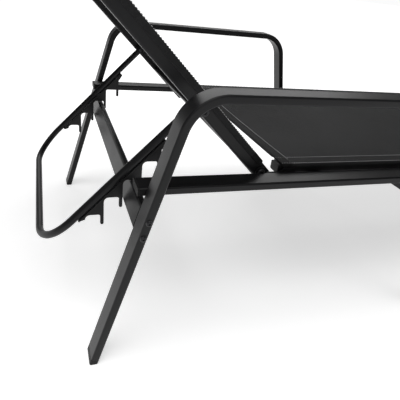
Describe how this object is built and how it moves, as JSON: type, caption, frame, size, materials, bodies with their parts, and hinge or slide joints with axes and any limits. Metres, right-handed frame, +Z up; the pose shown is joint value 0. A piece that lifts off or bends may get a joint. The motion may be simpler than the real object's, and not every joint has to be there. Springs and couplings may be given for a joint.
{
  "type": "reclining sun lounger",
  "caption": "Reclining sun lounger with fabric sling seat and backrest, armrest loops and a toothed stay that sets the backrest.",
  "frame": {"origin": "on the ground under the centre of the overall box, with the backrest in its third notch", "axes": "+X from head to foot, +Y to the left of a person lying face up with their feet toward +X, +Z up"},
  "size_m": [1.6946, 0.6866, 0.8225],
  "materials": {
    "powder_coat": "anthracite powder coat, slightly textured, semi-matt",
    "black_plastic": "moulded black plastic",
    "textilene": "dark grey PVC-coated polyester mesh, plain weave",
    "zinc_steel": "zinc-plated fasteners"
  },
  "bodies": {
    "frame": {"armrest_loop_left": "powder_coat", "armrest_loop_right": "powder_coat", "beam_bolt_front_left": "zinc_steel", "beam_bolt_front_right": "zinc_steel", "beam_bolt_rear_left": "zinc_steel", "beam_bolt_rear_right": "zinc_steel", "beam_cap_end_left": "black_plastic", "beam_cap_end_right": "black_plastic", "beam_cap_head_left": "black_plastic", "beam_cap_head_right": "black_plastic", "crossbar_bolt_lower_left": "zinc_steel", "crossbar_bolt_lower_right": "zinc_steel", "crossbar_bolt_upper_left": "zinc_steel", "crossbar_bolt_upper_right": "zinc_steel", "end_crossbar": "powder_coat", "end_foot_left": "black_plastic", "end_foot_right": "black_plastic", "end_leg_cap_left": "black_plastic", "end_leg_cap_right": "black_plastic", "end_leg_left": "powder_coat", "end_leg_right": "powder_coat", "front_crossbar": "powder_coat", "front_foot_left": "black_plastic", "front_foot_right": "black_plastic", "hinge_bolt_left": "zinc_steel", "hinge_bolt_right": "zinc_steel", "hinge_nut_left": "zinc_steel", "hinge_nut_right": "zinc_steel", "hinge_plate_left": "powder_coat", "hinge_plate_right": "powder_coat", "rear_crossbar": "powder_coat", "rear_foot_left": "black_plastic", "rear_foot_right": "black_plastic", "seat_end_bar": "powder_coat", "seat_rail_cap_left": "black_plastic", "seat_rail_cap_right": "black_plastic", "seat_rail_left": "powder_coat", "seat_rail_right": "powder_coat", "seat_sling": "textilene", "seat_spreader_head": "powder_coat", "seat_spreader_middle": "powder_coat", "side_beam_left": "powder_coat", "side_beam_right": "powder_coat"},
    "backrest": {"back_rail_foot_cap_left": "black_plastic", "back_rail_foot_cap_right": "black_plastic", "back_rail_head_cap_left": "black_plastic", "back_rail_head_cap_right": "black_plastic", "back_rail_left": "powder_coat", "back_rail_right": "powder_coat", "back_sling": "textilene", "back_spreader": "powder_coat", "back_top_bar": "powder_coat", "stay_bolt_left": "zinc_steel", "stay_bolt_right": "zinc_steel", "stay_spacer_left": "black_plastic", "stay_spacer_right": "black_plastic"},
    "stay": {"rack_plate_left": "powder_coat", "rack_plate_right": "powder_coat", "stay_tube": "powder_coat"}
  },
  "joints": [
    {"name": "backrest_recline", "type": "hinge", "parent": "frame", "child": "backrest", "pos_m": [-0.3027, 0, 0.296], "axis": [0, 1, 0], "range_deg": [0, 33]},
    {"name": "stay_swing", "type": "hinge", "parent": "backrest", "child": "stay", "pos_m": [-0.41477, 0, 0.39588], "axis": [0, 1, 0], "range_deg": [-11, 0]}
  ],
  "couplings": [
    {"joint": "stay_swing", "follows": "backrest_recline", "ratio": -0.33}
  ]
}
